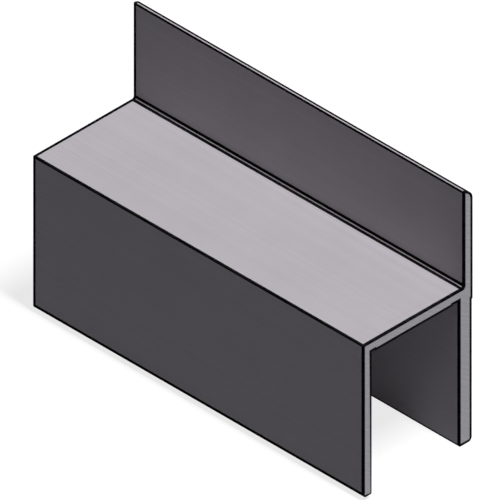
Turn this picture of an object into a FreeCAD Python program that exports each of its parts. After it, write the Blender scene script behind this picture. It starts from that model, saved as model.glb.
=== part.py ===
"""An extruded aluminium edging profile with an h-shaped section, cut to a short length.

The section stands in the YZ plane and is extruded along X. A thin front leg at -Y and a thicker
back leg at +Y hang from a level web and make a channel for the edge of a board. A thin upstand
rises from the back of the web, and its outer face stands a little proud of the back leg.
The origin is on the level of the longer back leg's foot, at the middle of the length and width.
"""
import FreeCAD, Part
import Sketcher
import math
import os

# Every driving size in millimetres, with what it measures
SIZES = {
    "stock_length": (76.0, "length of the cut piece"),
    "channel_width": (20.2, "clear gap between the two legs"),
    "front_leg_thickness": (1.8, "wall of the front leg"),
    "front_leg_depth": (30.2, "top of the web down to the front leg's foot"),
    "back_leg_thickness": (2.8, "wall of the back leg"),
    "back_leg_extra": (0.8, "how much deeper the back leg reaches than the front leg"),
    "web_thickness": (2.2, "wall of the web"),
    "upstand_thickness": (1.9, "wall of the upstand, and the radius of its quarter-round tip"),
    "upstand_height": (19.0, "top of the web up to the upstand's tip"),
    "proud_step": (0.2, "how far the upstand's outer face stands proud of the back leg's"),
    "proud_drop": (2.9, "top of the web down to the lower end of the proud face"),
    "relief_depth": (0.2, "depth of the relief beside each leg in the web's underside"),
    "front_relief_width": (0.8, "width of the relief beside the front leg"),
    "back_relief_width": (1.5, "width of the relief beside the back leg"),
    "root_radius": (0.4, "fillet between the web's top and the upstand"),
    "front_foot_outer_radius": (0.5, "rounding of the front foot's outer edge"),
    "front_foot_inner_radius": (0.3, "rounding of the front foot's inner edge"),
    "back_foot_outer_radius": (0.8, "rounding of the back foot's outer edge"),
}

# The whole width follows from the walls, the gap and the step
WIDTH_TERMS = ("front_leg_thickness", "channel_width", "back_leg_thickness", "proud_step")

# The one curved piece of the outline starts at this corner, and straight pieces start at the others
ROUND_TIP = "tip_front"

# The edges that are rounded after the extrusion, each at a corner of the section
ROUNDINGS = (
    ("root_fillet", "root", "root_radius"),
    ("front_foot_outer_rounding", "front_foot_outer", "front_foot_outer_radius"),
    ("front_foot_inner_rounding", "front_foot_inner", "front_foot_inner_radius"),
    ("back_foot_outer_rounding", "back_foot_outer", "back_foot_outer_radius"),
)

SAME_PLACE = 1e-6


def add_size_sheet(doc):
    """Put each driving size in a row of its own: name, value and meaning."""
    sheet = doc.addObject("Spreadsheet::Sheet", "Sizes")
    for row, (name, (value, meaning)) in enumerate(SIZES.items(), start=1):
        sheet.set(f"A{row}", name)
        sheet.set(f"B{row}", str(value))
        sheet.set(f"C{row}", meaning)
        sheet.setAlias(f"B{row}", name)
    doc.recompute()


def section_corners():
    """The corners of the section in order, each a place in Y and Z, before the edges are rounded."""
    size = {name: value for name, (value, meaning) in SIZES.items()}
    back = sum(size[name] for name in WIDTH_TERMS) / 2
    front = -back
    front_inner = front + size["front_leg_thickness"]
    back_inner = front_inner + size["channel_width"]
    back_outer = back_inner + size["back_leg_thickness"]
    upstand_front = back - size["upstand_thickness"]
    front_foot = size["back_leg_extra"]
    web_top = front_foot + size["front_leg_depth"]
    tip = web_top + size["upstand_height"]
    proud_end = web_top - size["proud_drop"]
    ceiling = web_top - size["web_thickness"]
    relief_top = ceiling + size["relief_depth"]
    front_relief = front_inner + size["front_relief_width"]
    back_relief = back_inner - size["back_relief_width"]
    return {
        "front_foot_outer": (front, front_foot),
        "web_front": (front, web_top),
        "root": (upstand_front, web_top),
        "tip_front": (upstand_front, tip),
        "tip_side": (back, tip - size["upstand_thickness"]),
        "proud_end": (back, proud_end),
        "leg_shoulder": (back_outer, proud_end),
        "back_foot_outer": (back_outer, 0.0),
        "back_foot_inner": (back_inner, 0.0),
        "back_relief_corner": (back_inner, relief_top),
        "back_relief_side": (back_relief, relief_top),
        "ceiling_back": (back_relief, ceiling),
        "ceiling_front": (front_relief, ceiling),
        "front_relief_side": (front_relief, relief_top),
        "front_relief_corner": (front_inner, relief_top),
        "front_foot_inner": (front_inner, front_foot),
    }


def origin_plane(body, role):
    """One of the body's own origin planes."""
    for feature in body.Origin.OriginFeatures:
        if feature.Role == role:
            return feature
    raise ValueError(f"the body has no {role}")


def outline_piece(name, start, end):
    """The piece of the outline from one corner to the next."""
    if name != ROUND_TIP:
        return Part.LineSegment(start, end)
    centre = FreeCAD.Vector(start.x, end.y, 0)
    circle = Part.Circle(centre, FreeCAD.Vector(0, 0, 1), end.x - start.x)
    return Part.ArcOfCircle(circle, 0, math.pi / 2)


def add_section_sketch(body, corners):
    """Draw the section on the YZ plane and tie its sizes to the sheet."""
    sketch = body.newObject("Sketcher::SketchObject", "section")
    sketch.AttachmentSupport = [(origin_plane(body, "YZ_Plane"), "")]
    sketch.MapMode = "FlatFace"
    names = list(corners)
    following = dict(zip(names, names[1:] + names[:1]))
    piece = {}
    for name in names:
        start = FreeCAD.Vector(*corners[name], 0)
        end = FreeCAD.Vector(*corners[following[name]], 0)
        piece[name] = sketch.addGeometry(outline_piece(name, start, end), False)

    # A straight piece starts at its own corner; the arc turns the other way, so it ends there
    def first_point(name):
        return piece[name], 2 if name == ROUND_TIP else 1

    def last_point(name):
        return piece[name], 1 if name == ROUND_TIP else 2

    def hold(*terms):
        return sketch.addConstraint(Sketcher.Constraint(*terms))

    # The straight pieces are upright and level by turns, and the arc stands in for a level one
    for index, name in enumerate(names):
        hold("Coincident", *last_point(name), *first_point(following[name]))
        if name == ROUND_TIP:
            hold("Vertical", piece[name], 3, *first_point(name))
            hold("Horizontal", piece[name], 3, *last_point(name))
        else:
            hold("Vertical" if index % 2 == 0 else "Horizontal", piece[name])

    def tie(kind, first, second, label, expression):
        """Give the distance between two corners, or from the origin to one, its size."""
        axis = 0 if kind == "DistanceX" else 1
        begin = (-1, 1) if first is None else first_point(first)
        value = corners[second][axis] - (0.0 if first is None else corners[first][axis])
        index = hold(kind, *begin, *first_point(second), value)
        sketch.renameConstraint(index, label)
        sketch.setExpression(f".Constraints.{label}", expression)

    half_width = "(" + " + ".join(f"Sizes.{name}" for name in WIDTH_TERMS) + ") / 2"
    hold("PointOnObject", *first_point("back_foot_inner"), -1)
    tie("DistanceX", None, "tip_side", "half_width", half_width)
    tie("DistanceX", "front_foot_outer", "front_foot_inner", "front_wall", "Sizes.front_leg_thickness")
    tie("DistanceX", "front_foot_inner", "back_foot_inner", "channel", "Sizes.channel_width")
    tie("DistanceX", "back_foot_inner", "back_foot_outer", "back_wall", "Sizes.back_leg_thickness")
    tie("DistanceX", "leg_shoulder", "proud_end", "step_out", "Sizes.proud_step")
    tie("DistanceX", "tip_front", "tip_side", "upstand_wall", "Sizes.upstand_thickness")
    tie("DistanceX", "front_relief_corner", "front_relief_side", "front_relief", "Sizes.front_relief_width")
    tie("DistanceX", "back_relief_side", "back_relief_corner", "back_relief", "Sizes.back_relief_width")
    tie("DistanceY", "back_foot_inner", "front_foot_outer", "foot_difference", "Sizes.back_leg_extra")
    tie("DistanceY", "front_foot_outer", "web_front", "front_depth", "Sizes.front_leg_depth")
    tie("DistanceY", "root", "tip_front", "rise", "Sizes.upstand_height")
    tie("DistanceY", "proud_end", "root", "step_down", "Sizes.proud_drop")
    tie("DistanceY", "ceiling_front", "web_front", "web_wall", "Sizes.web_thickness")
    tie("DistanceY", "ceiling_front", "front_relief_side", "front_relief_rise", "Sizes.relief_depth")
    tie("DistanceY", "ceiling_back", "back_relief_side", "back_relief_rise", "Sizes.relief_depth")
    return sketch


def long_edge_at(shape, place):
    """Name of the edge that runs the whole length through a corner of the section."""
    for index, edge in enumerate(shape.Edges, start=1):
        ends = [vertex.Point for vertex in edge.Vertexes]
        runs_along = len(ends) == 2 and abs(ends[0].x - ends[1].x) > SAME_PLACE
        if runs_along and math.dist(place, (ends[0].y, ends[0].z)) < SAME_PLACE:
            return f"Edge{index}"
    raise ValueError(f"no edge runs along the length at {place}")


def add_profile(doc):
    """The whole profile: one extruded piece."""
    body = doc.addObject("PartDesign::Body", "profile")
    body.Label = "h_profile"
    corners = section_corners()
    extrusion = body.newObject("PartDesign::Pad", "extrusion")
    extrusion.Profile = add_section_sketch(body, corners)
    extrusion.Midplane = True
    extrusion.setExpression("Length", "Sizes.stock_length")
    doc.recompute()

    last = extrusion
    for name, corner, radius in ROUNDINGS:
        rounding = body.newObject("PartDesign::Fillet", name)
        rounding.Base = (last, [long_edge_at(last.Shape, corners[corner])])
        rounding.setExpression("Radius", f"Sizes.{radius}")
        doc.recompute()
        last = rounding
    body.Placement = FreeCAD.Placement()
    return body


def check_document(doc, pieces):
    """Stop if any object failed or any piece is not one valid solid."""
    for item in doc.Objects:
        if "Invalid" in item.State or "Error" in item.State:
            raise RuntimeError(f"{item.Label} failed: {item.State}")
    for piece in pieces:
        shape = piece.Shape
        if shape.isNull() or not shape.isValid() or len(shape.Solids) != 1:
            raise RuntimeError(f"{piece.Label} is not one valid solid")


def main():
    doc = FreeCAD.newDocument("h_profile_edging")
    add_size_sheet(doc)
    pieces = [add_profile(doc)]
    doc.recompute()
    check_document(doc, pieces)
    os.makedirs("parts", exist_ok=True)
    for piece in pieces:
        piece.Shape.exportStep(f"parts/{piece.Label}.step")


main()
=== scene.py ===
"""Looks of the aluminium h-profile edging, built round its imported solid.

One swept piece stands for the node h_profile. It has the same section, with the small roundings that
a die and a deburring tool leave at its corners. Each kind of surface has a material of its own: the
extruded faces with their lengthwise die lines, the sawn ends, and the dark arrises along the edges.
Lengths are in metres.
"""

import math

import bmesh
import bpy
from mathutils import Matrix, Vector
from mathutils.geometry import delaunay_2d_cdt


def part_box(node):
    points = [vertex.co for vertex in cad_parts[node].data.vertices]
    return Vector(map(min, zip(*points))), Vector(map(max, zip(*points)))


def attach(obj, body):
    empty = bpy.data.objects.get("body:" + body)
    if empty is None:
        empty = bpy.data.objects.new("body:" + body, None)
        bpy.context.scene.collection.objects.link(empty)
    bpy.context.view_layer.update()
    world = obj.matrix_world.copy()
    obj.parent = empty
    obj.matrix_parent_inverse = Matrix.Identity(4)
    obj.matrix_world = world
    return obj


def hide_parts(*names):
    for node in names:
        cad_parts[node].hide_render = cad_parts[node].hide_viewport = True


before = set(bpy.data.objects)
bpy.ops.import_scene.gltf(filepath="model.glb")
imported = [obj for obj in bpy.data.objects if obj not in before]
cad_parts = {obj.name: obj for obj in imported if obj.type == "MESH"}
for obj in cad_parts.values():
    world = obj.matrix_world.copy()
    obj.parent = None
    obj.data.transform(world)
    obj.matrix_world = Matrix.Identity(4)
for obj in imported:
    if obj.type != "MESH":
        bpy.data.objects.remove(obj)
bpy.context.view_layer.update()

MM = 0.001
NODE = "h_profile"

# The two cut ends, at -X and at +X
FAR, NEAR = -1, 1

# Small roundings: along the length, and where the saw cut was deburred
CORNER_RADIUS = 0.12 * MM
CUT_RADIUS = 0.05 * MM
ROUNDING_STEPS = 4

# A rounding takes up at most this part of each piece of outline beside it
LARGEST_SHARE = 0.45

# Widths of the dark bands: beside a corner, on the flat beside an arc, on a rounding and in a fillet
CORNER_BAND = 0.26 * MM
FLAT_BAND = 0.39 * MM
ROUNDING_BAND = 0.4 * MM
FILLET_BAND = 0.24 * MM

# Their widths at a cut end: on the long faces, at the far and the near end, and on the end itself,
# where the width grows from the first to the second as the face beside it looks back or down
FAR_CUT_BAND, NEAR_CUT_BAND = 0.6 * MM, 0.56 * MM
FRONT_RIM, BACK_RIM = 0.25 * MM, 0.54 * MM

# An arc with a larger radius than this has no band at its smooth end. Where an arc runs into a corner,
# a band lies along its crest, between these angles from the corner, and the one beside the corner is narrow
CREST_RADIUS = 1.2 * MM
CREST_START, CREST_END = math.radians(9), math.radians(43)
CREST_SIDE_BAND = 0.02 * MM

# A turn of the outline above the first angle is a corner, and one between the two belongs to an arc
CORNER_TURN = math.radians(30)
GENTLE_TURN = math.radians(0.5)

# Every facet of an arc is shorter than this
LONGEST_FACET = 0.6 * MM

# Points closer to each other than this are one
WELD = 1e-6

# The triangulation's own number for keeping only what lies inside the edges
INSIDE_EDGES = 1

# The drawing's parallel view: its direction, its width, the point at its centre, and the camera's distance
VIEW_AZIMUTH = math.radians(45)
VIEW_ELEVATION = math.radians(35.17)
VIEW_WIDTH = 81.2 * MM
VIEW_CENTRE = Vector((-0.33, -0.33, 24.97)) * MM
VIEW_DISTANCE = 0.6

# Tones as linear colour: the drawing's violet-grey aluminium and its dark edges
FACE_DARK = (0.440, 0.414, 0.448, 1.0)
FACE_LIGHT = (0.496, 0.466, 0.503, 1.0)
END_DARK = (0.420, 0.408, 0.436, 1.0)
END_LIGHT = (0.510, 0.496, 0.530, 1.0)
ARRIS_DARK = (0.003, 0.003, 0.004, 1.0)
ARRIS_LIGHT = (0.014, 0.013, 0.015, 1.0)

# Specular level of the metal, and of its dark arrises
FAINT_GLOSS, NO_GLOSS = 0.06, 0.0

# Grains to the metre of each pattern, or along each axis
DIE_LINES = (6, 2600, 2600)
CLOUDS = 110
FACE_GRAIN = 4200
SAW_MARKS = 2400
END_GRAIN = 3000
ARRIS_PATCHES = (300, 1500, 1500)

# How deep each surface's relief is at most
FACE_RELIEF = 0.01 * MM
END_RELIEF = 0.012 * MM
ARRIS_RELIEF = 0.008 * MM

# The parts of a pattern's range that the tones and the roughness are spread over
TONE_RANGE = 0.35, 0.65
ROUGHNESS_RANGE = 0.3, 0.7

# From the hub of the saw blade to the part's origin, so that its marks are arcs
FROM_BLADE_HUB = (0, 0.09, 0.13)

# Materials by their place in the piece
FACE, END, ARRIS = range(3)


def facing(azimuth, elevation):
    """Unit vector to a place round the object: azimuth 0 is at -Y, and 90 at +X."""
    return Vector((
        math.sin(azimuth) * math.cos(elevation),
        -math.cos(azimuth) * math.cos(elevation),
        math.sin(elevation),
    ))


# The section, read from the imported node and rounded


def end_outline(node):
    """Corners of the +X end in order, as places in Y and Z, with the metal on the left."""
    solid = bmesh.new()
    solid.from_mesh(node.data)
    bmesh.ops.remove_doubles(solid, verts=solid.verts, dist=WELD)
    end = max(vertex.co.x for vertex in solid.verts)
    cap = {face for face in solid.faces if all(end - v.co.x < WELD for v in face.verts)}
    after = {}
    for face in cap:
        for loop in face.loops:
            if not any(other in cap for other in loop.edge.link_faces if other is not face):
                after[loop.vert] = loop.link_loop_next.vert
    first = next(iter(after))
    outline = [first]
    while after[outline[-1]] is not first:
        outline.append(after[outline[-1]])
    places = [Vector((vertex.co.y, vertex.co.z)) for vertex in outline]
    solid.free()
    # It starts after its longest piece, so that no small form lies across the start
    start = max(range(len(places)), key=lambda i: (places[i] - places[i - 1]).length)
    return places[start:] + places[:start]


def turn_between(before, after):
    """Signed angle from one direction to the next, positive to the left."""
    return math.atan2(before.cross(after), before.dot(after))


def outward(direction):
    """The way out of the metal beside a stretch of outline."""
    return Vector((direction.y, -direction.x))


class Outline:
    """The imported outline: its points, and at each one the turn and the straight piece to the next."""

    def __init__(self, places):
        pieces = [there - here for here, there in zip(places, places[1:] + places[:1])]
        self.places = places
        self.lengths = [piece.length for piece in pieces]
        self.ways = [piece.normalized() for piece in pieces]
        self.turns = [turn_between(self.ways[i - 1], self.ways[i]) for i in range(len(places))]

    def is_corner(self, i):
        return abs(self.turns[i]) > CORNER_TURN

    def is_gentle(self, i):
        return GENTLE_TURN < abs(self.turns[i % len(self.turns)]) < CORNER_TURN

    def is_facet(self, i):
        """Whether the piece that starts at this point is part of an arc."""
        return self.lengths[i] < LONGEST_FACET and (self.is_gentle(i) or self.is_gentle(i + 1))


class Spot:
    """A point of the rounded outline, with the way out of the metal and its place on an end's inner rim."""

    def __init__(self, place, normal, inner):
        self.place = place
        self.normal = normal
        self.inner = inner

    def towards(self, other, share):
        """The spot at this share of the way to another."""
        return Spot(
            self.place.lerp(other.place, share),
            self.normal.lerp(other.normal, share).normalized(),
            self.inner.lerp(other.inner, share),
        )


def rim_width(normal):
    """Width of the dark band on a cut end, beside a face that looks this way."""
    return FRONT_RIM + (BACK_RIM - FRONT_RIM) * max(0.0, normal.x, -normal.y)


def rim_corner(corner, first, second):
    """Where the inner edges of two such bands cross, beside faces that look these two ways."""
    width, other = rim_width(first), rim_width(second)
    lean = first.dot(second)
    return corner - (first * (width - lean * other) + second * (other - lean * width)) / (1 - lean ** 2)


def corner_spots(outline, i):
    """Spots of the small arc that takes the place of a corner."""
    corner, turn = outline.places[i], outline.turns[i]
    before, after = outline.ways[i - 1], outline.ways[i]
    radius = min(CORNER_RADIUS, LARGEST_SHARE * outline.lengths[i - 1], LARGEST_SHARE * outline.lengths[i])
    reach = radius * math.tan(abs(turn) / 2)
    side = math.copysign(1.0, turn)
    centre = corner - before * reach - outward(before) * radius * side
    mitre = rim_corner(corner, outward(before), outward(after))
    spots = []
    for step in range(ROUNDING_STEPS + 1):
        normal = Matrix.Rotation(turn * step / ROUNDING_STEPS, 2) @ outward(before)
        place = centre + normal * radius * side
        spots.append(Spot(place, normal, mitre))
    return spots


def corner_bands(outline, i, spots):
    """How far each dark band of a corner reaches back and on from the first of its spots."""
    around = ROUNDING_STEPS * (spots[1].place - spots[0].place).length
    if not outline.is_facet(i - 1):
        return [(CORNER_BAND, around + CORNER_BAND)]
    # The crest's band ends before it gets to the corner, so its reach on is negative
    radius = outline.lengths[i - 1] / outline.turns[i - 1]
    return [(CREST_SIDE_BAND, around + CORNER_BAND), (CREST_END * radius, -CREST_START * radius)]


def smooth_spot(outline, i):
    """The spot at a point that is no corner, and how far each dark band there reaches back and on."""
    place = outline.places[i]
    before, after = outline.ways[i - 1], outline.ways[i]
    on_arc = outline.is_facet(i - 1), outline.is_facet(i)
    normal = (outward(before) + outward(after)).normalized()
    bands = []
    # The arc's radius is positive on a rounding and negative in a fillet, and 0 stands for no arc
    radius = 0.0
    if any(on_arc):
        radius = min(outline.lengths[i - 1], outline.lengths[i]) / outline.turns[i]
    if on_arc[0] != on_arc[1]:
        # From a flat to the first facet of an arc the turn is half of that between two facets
        radius = radius / 2
        normal = outward(before if on_arc[1] else after)
        if radius < CREST_RADIUS:
            arc_band = ROUNDING_BAND if radius > 0 else FILLET_BAND
            bands.append(tuple(arc_band if side else FLAT_BAND for side in on_arc))
    # The rim goes no deeper than the middle of a rounding
    depth = min(rim_width(normal), radius) if radius > 0 else rim_width(normal)
    return Spot(place, normal, place - normal * depth), bands


def keep_out_of_rim(spots, corner, normal, mitre):
    """End the rim of the spots before a corner at its mitre, where it would reach into the next rim."""
    for spot in reversed(spots):
        if (corner - spot.inner).dot(normal) >= rim_width(normal):
            break
        spot.inner = mitre


def rounded_outline(places):
    """The outline as spots, and its dark bands: each a spot's number, and the reach back and on from it."""
    outline = Outline(places)
    spots, bands = [], []
    for i in range(len(places)):
        if outline.is_corner(i):
            made = corner_spots(outline, i)
            reaches = corner_bands(outline, i, made)
            if outline.turns[i] > 0:
                keep_out_of_rim(spots, places[i], outward(outline.ways[i]), made[0].inner)
        else:
            spot, reaches = smooth_spot(outline, i)
            made = [spot]
        bands += [(len(spots), back, on) for back, on in reaches]
        spots += made
    return spots, bands


def banded_outline(places):
    """The outline's spots, cut where a dark band starts or ends, and for each stretch whether it is dark."""
    spots, bands = rounded_outline(places)
    following = spots[1:] + spots[:1]
    along = [0.0]
    for spot, other in zip(spots, following):
        along.append(along[-1] + (other.place - spot.place).length)
    whole = along[-1]
    spans = [(along[number] - back, back + on) for number, back, on in bands]

    def is_dark(distance):
        return any((distance - start) % whole < width for start, width in spans)

    limits = {(start + part) % whole for start, width in spans for part in (0.0, width)}
    limits = sorted(limit for limit in limits if is_dark(limit - WELD) != is_dark(limit + WELD))
    cut, dark = [], []
    for spot, other, start, end in zip(spots, following, along, along[1:]):
        stops = [start] + [limit for limit in limits if start + WELD < limit < end - WELD] + [end]
        for here, there in zip(stops, stops[1:]):
            cut.append(spot.towards(other, (here - start) / (end - start)))
            dark.append(is_dark((here + there) / 2))
    return cut, dark


# The swept piece


def end_stations(half_length, side, band):
    """Rings of one cut end, from its inner rim outwards: the place in X, the depth and the normals' lean.

    The inner rim has no depth, because each spot has a place of its own there.
    """
    made = [(side * half_length, None, side * math.pi / 2)]
    for step in range(ROUNDING_STEPS, -1, -1):
        angle = math.pi / 2 * step / ROUNDING_STEPS
        depth = CUT_RADIUS * (1 - math.cos(angle))
        made.append((side * (half_length - CUT_RADIUS * (1 - math.sin(angle))), depth, side * angle))
    made.append((side * (half_length - band), 0.0, 0.0))
    return made


def place_rings(piece, spots, stations):
    """A ring of vertices at each station, and all their normals. Spots that fall together share a vertex."""
    rings, normals = [], []
    for x, depth, lean in stations:
        ring = []
        for spot in spots:
            flat = spot.inner if depth is None else spot.place - spot.normal * depth
            place = Vector((x, flat.x, flat.y))
            if ring and (ring[-1].co - place).length < WELD:
                ring.append(ring[-1])
                continue
            ring.append(piece.verts.new(place))
            side = spot.normal * math.cos(lean)
            normals.append(Vector((math.sin(lean), side.x, side.y)))
        rings.append(ring)
    return rings, normals


def join_rings(piece, rings, dark):
    """Faces between the rings: dark ones, but for the stretches of the long middle that are not."""
    middle = len(rings) // 2 - 1
    for station, (here, there) in enumerate(zip(rings, rings[1:])):
        for i, is_dark in enumerate(dark):
            k = (i + 1) % len(dark)
            corners = [here[i], here[k], there[k], there[i]]
            # A face is split from its first corner, so the near end's start one later, to mirror the far end
            if station > middle:
                corners.append(corners.pop(0))
            corners = dict.fromkeys(corners)
            if len(corners) > 2:
                face = piece.faces.new(corners)
                face.material_index = FACE if station == middle and not is_dark else ARRIS


def close_end(piece, ring, side):
    """Close a cut end inside its rim, with no flat or folded triangle."""
    rim = list(dict.fromkeys(ring))
    edges = [(i, (i + 1) % len(rim)) for i in range(len(rim))]
    places = [vertex.co.yz for vertex in rim]
    faces, origins = delaunay_2d_cdt(places, edges, [], INSIDE_EDGES, WELD)[2:4]
    for face in faces:
        corners = [rim[origins[i][0]] for i in face]
        # At the far end the corners are taken backwards, so that the face looks out
        piece.faces.new(corners[::side]).material_index = END


def sweep_profile(name, node):
    """The profile as one closed mesh along X."""
    spots, dark = banded_outline(end_outline(node))
    half_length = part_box(NODE)[1].x
    far_end = end_stations(half_length, FAR, FAR_CUT_BAND)
    near_end = end_stations(half_length, NEAR, NEAR_CUT_BAND)
    piece = bmesh.new()
    rings, normals = place_rings(piece, spots, far_end + near_end[::-1])
    join_rings(piece, rings, dark)
    close_end(piece, rings[0], FAR)
    close_end(piece, rings[-1], NEAR)
    for face in piece.faces:
        face.smooth = True
    mesh = bpy.data.meshes.new(name)
    piece.to_mesh(mesh)
    piece.free()
    mesh.normals_split_custom_set_from_vertices(normals)
    made = bpy.data.objects.new(name, mesh)
    bpy.context.scene.collection.objects.link(made)
    return made


# Materials


def new_material(name):
    """A material, and its empty node tree."""
    material = bpy.data.materials.new(name)
    material.use_nodes = True
    tree = material.node_tree
    tree.nodes.clear()
    return material, tree


def add_node(tree, kind, inputs=None, **settings):
    """A node with its settings, whose inputs are values or the outputs of other nodes."""
    made = tree.nodes.new(kind)
    for name, value in settings.items():
        setattr(made, name, value)
    for name, value in (inputs or {}).items():
        if isinstance(value, bpy.types.NodeSocket):
            tree.links.new(value, made.inputs[name])
        else:
            made.inputs[name].default_value = value
    return made


def object_place(tree):
    return add_node(tree, "ShaderNodeTexCoord").outputs["Object"]


def stretched(tree, place, scale, location=(0, 0, 0)):
    """The place, counted in grains of the given fineness along each axis."""
    return add_node(
        tree, "ShaderNodeMapping", {"Vector": place, "Scale": scale, "Location": location}
    ).outputs["Vector"]


def noise(tree, place, scale=1.0, detail=2.0):
    return add_node(
        tree, "ShaderNodeTexNoise", {"Vector": place, "Scale": scale, "Detail": detail}
    ).outputs["Fac"]


def weighed(tree, first, second, share):
    """A blend of two patterns, with the given share of the second."""
    # The node has inputs of one name for each kind of data, so its plain numbers go by their places
    return add_node(
        tree, "ShaderNodeMix", {0: share, 2: first, 3: second}, data_type="FLOAT"
    ).outputs[0]


def toned(tree, pattern, dark, light):
    """The pattern as a colour between a dark and a light tone."""
    ramp = add_node(tree, "ShaderNodeValToRGB", {"Fac": pattern})
    for stop, position, colour in zip(ramp.color_ramp.elements, TONE_RANGE, (dark, light)):
        stop.position = position
        stop.color = colour
    return ramp.outputs["Color"]


def spread(tree, pattern, low, high):
    """The pattern's middle range as a number from low to high."""
    start, end = ROUGHNESS_RANGE
    return add_node(
        tree,
        "ShaderNodeMapRange",
        {"Value": pattern, "From Min": start, "From Max": end, "To Min": low, "To Max": high},
    ).outputs["Result"]


def bumped(tree, height, depth, strength):
    return add_node(
        tree, "ShaderNodeBump", {"Height": height, "Distance": depth, "Strength": strength}
    ).outputs["Normal"]


def finish_surface(tree, colour, roughness, normal, gloss=FAINT_GLOSS):
    """The matte surface, with its gloss kept low as in the drawing."""
    shader = add_node(
        tree,
        "ShaderNodeBsdfPrincipled",
        {
            "Base Color": colour,
            "Roughness": roughness,
            "Normal": normal,
            "Specular IOR Level": gloss,
        },
    )
    add_node(tree, "ShaderNodeOutputMaterial", {"Surface": shader.outputs["BSDF"]})


def extruded_aluminium():
    """Faces as the die left them: fine lines along the length, and faint clouds."""
    material, tree = new_material("extruded_aluminium")
    place = object_place(tree)
    die_lines = noise(tree, stretched(tree, place, DIE_LINES), detail=3)
    clouds = noise(tree, place, scale=CLOUDS)
    grain = noise(tree, place, scale=FACE_GRAIN, detail=1)
    clouded = weighed(tree, die_lines, clouds, share=0.35)
    tone = weighed(tree, clouded, grain, share=0.2)
    relief = weighed(tree, die_lines, grain, share=0.3)
    finish_surface(
        tree,
        toned(tree, tone, FACE_DARK, FACE_LIGHT),
        spread(tree, die_lines, low=0.42, high=0.56),
        bumped(tree, relief, FACE_RELIEF, strength=0.4),
    )
    return material


def sawn_aluminium():
    """Cut ends: the arcs that a round blade leaves, on a slightly rougher ground."""
    material, tree = new_material("sawn_aluminium")
    place = object_place(tree)
    from_hub = stretched(tree, place, (0, 1, 1), location=FROM_BLADE_HUB)
    reach = add_node(tree, "ShaderNodeVectorMath", {0: from_hub}, operation="LENGTH").outputs["Value"]
    arcs = add_node(
        tree, "ShaderNodeTexNoise", {"W": reach, "Scale": SAW_MARKS, "Detail": 3}, noise_dimensions="1D"
    ).outputs["Fac"]
    grain = noise(tree, place, scale=END_GRAIN, detail=3)
    tone = weighed(tree, arcs, grain, share=0.5)
    finish_surface(
        tree,
        toned(tree, tone, END_DARK, END_LIGHT),
        spread(tree, grain, low=0.45, high=0.62),
        bumped(tree, tone, END_RELIEF, strength=0.5),
    )
    return material


def dark_arris():
    """Near-black bands along the edges, a little uneven in tone."""
    material, tree = new_material("dark_arris")
    place = object_place(tree)
    patches = noise(tree, stretched(tree, place, ARRIS_PATCHES), detail=3)
    finish_surface(
        tree,
        toned(tree, patches, ARRIS_DARK, ARRIS_LIGHT),
        spread(tree, patches, low=0.5, high=0.65),
        bumped(tree, patches, ARRIS_RELIEF, strength=0.4),
        gloss=NO_GLOSS,
    )
    return material


def dress_profile():
    """The visible profile, in the place of its node."""
    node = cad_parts[NODE]
    piece = sweep_profile("h_profile_body", node)
    for material in (extruded_aluminium(), sawn_aluminium(), dark_arris()):
        piece.data.materials.append(material)
    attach(piece, "root")
    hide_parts(NODE)


# Floor, world, lamps and camera

# The floor: its half width, its colour for the light it throws back, and its colour and glow as it shows
FLOOR_HALF = 1.5
FLOOR_BOUNCE = (0.225, 0.225, 0.235, 1.0)
FLOOR_SEEN = (0.27, 0.27, 0.27, 1.0)
FLOOR_GLOW = 0.79
WHITE = (1.0, 1.0, 1.0, 1.0)

# The key lamp leans this far from upright, towards +X, and the two fills stand low at their own azimuths
KEY_TILT = math.radians(18)
SIDE_AZIMUTH = math.radians(135)
BACK_AZIMUTH = math.radians(260)
FILL_ELEVATION = math.radians(3)


def rays_that_show(tree):
    """1 for the rays that show a thing: the camera's own, and those mirrored or passed on to it."""
    path = add_node(tree, "ShaderNodeLightPath").outputs
    mirrored = add_node(
        tree, "ShaderNodeMath", {0: path["Is Camera Ray"], 1: path["Is Glossy Ray"]}, operation="MAXIMUM"
    )
    return add_node(
        tree, "ShaderNodeMath", {0: mirrored.outputs[0], 1: path["Is Transmission Ray"]}, operation="MAXIMUM"
    ).outputs[0]


def floor_material():
    """Shown as a white floor that keeps the object's shadow, and plain grey to the light it throws back."""
    material, tree = new_material("pale_floor")
    bounce = add_node(tree, "ShaderNodeBsdfDiffuse", {"Color": FLOOR_BOUNCE}).outputs["BSDF"]
    lit = add_node(tree, "ShaderNodeBsdfDiffuse", {"Color": FLOOR_SEEN}).outputs["BSDF"]
    glow = add_node(tree, "ShaderNodeEmission", {"Color": WHITE, "Strength": FLOOR_GLOW}).outputs["Emission"]
    seen = add_node(tree, "ShaderNodeAddShader", {0: lit, 1: glow}).outputs["Shader"]
    mixed = add_node(tree, "ShaderNodeMixShader", {0: rays_that_show(tree), 1: bounce, 2: seen})
    add_node(tree, "ShaderNodeOutputMaterial", {"Surface": mixed.outputs["Shader"]})
    return material


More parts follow.
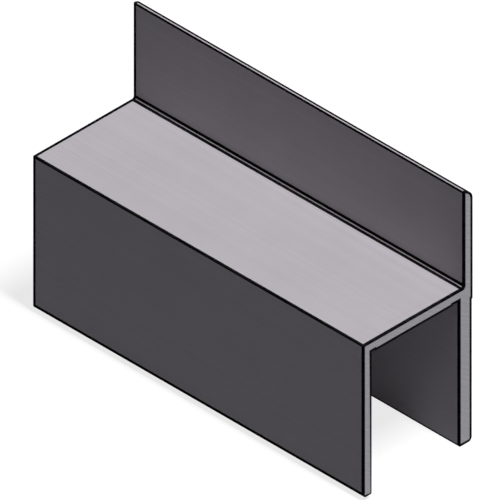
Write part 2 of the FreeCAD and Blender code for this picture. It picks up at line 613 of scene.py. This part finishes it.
def lay_floor():
    corners = [(x * FLOOR_HALF, y * FLOOR_HALF, 0) for x, y in ((-1, -1), (1, -1), (1, 1), (-1, 1))]
    mesh = bpy.data.meshes.new("floor")
    mesh.from_pydata(corners, [], [(0, 1, 2, 3)])
    mesh.materials.append(floor_material())
    floor = bpy.data.objects.new("floor", mesh)
    bpy.context.scene.collection.objects.link(floor)


def light_world():
    """A white surround that shows, and lights nothing by itself."""
    world = bpy.data.worlds.new("studio")
    bpy.context.scene.world = world
    world.use_nodes = True
    tree = world.node_tree
    tree.nodes.clear()
    white = add_node(tree, "ShaderNodeBackground", {"Color": WHITE, "Strength": rays_that_show(tree)})
    add_node(tree, "ShaderNodeOutputWorld", {"Surface": white.outputs["Background"]})


def look_along(holder, direction, distance):
    """Put a lamp or the camera this far off in a direction, looking back at the view's centre."""
    holder.location = VIEW_CENTRE + direction * distance
    holder.rotation_mode = "QUATERNION"
    holder.rotation_quaternion = (-direction).to_track_quat("-Z", "Y")
    bpy.context.scene.collection.objects.link(holder)


def soft_box(name, direction, distance, width, height, share):
    """A lamp whose share is the part of full light that it gives a surface turned to it."""
    lamp = bpy.data.lights.new(name, "AREA")
    lamp.shape = "RECTANGLE"
    lamp.size = width
    lamp.size_y = height
    lamp.energy = share * math.pi ** 2 * distance ** 2
    look_along(bpy.data.objects.new(name, lamp), direction, distance)


def light_studio():
    """A long key lamp overhead, and two low fills beside and behind the object."""
    light_world()
    above = Vector((math.sin(KEY_TILT), 0, math.cos(KEY_TILT)))
    side = facing(SIDE_AZIMUTH, FILL_ELEVATION)
    back = facing(BACK_AZIMUTH, FILL_ELEVATION)
    soft_box("key", above, distance=4.0, width=0.4, height=1.2, share=1.04)
    soft_box("side_fill", side, distance=3.0, width=0.75, height=0.25, share=0.2)
    soft_box("back_fill", back, distance=3.0, width=1.0, height=0.25, share=0.3)


def set_camera():
    camera = bpy.data.cameras.new("camera")
    camera.type = "ORTHO"
    camera.ortho_scale = VIEW_WIDTH
    holder = bpy.data.objects.new("camera", camera)
    look_along(holder, facing(VIEW_AZIMUTH, VIEW_ELEVATION), VIEW_DISTANCE)
    bpy.context.scene.camera = holder


bpy.context.scene.view_settings.view_transform = "Standard"
dress_profile()
lay_floor()
light_studio()
set_camera()
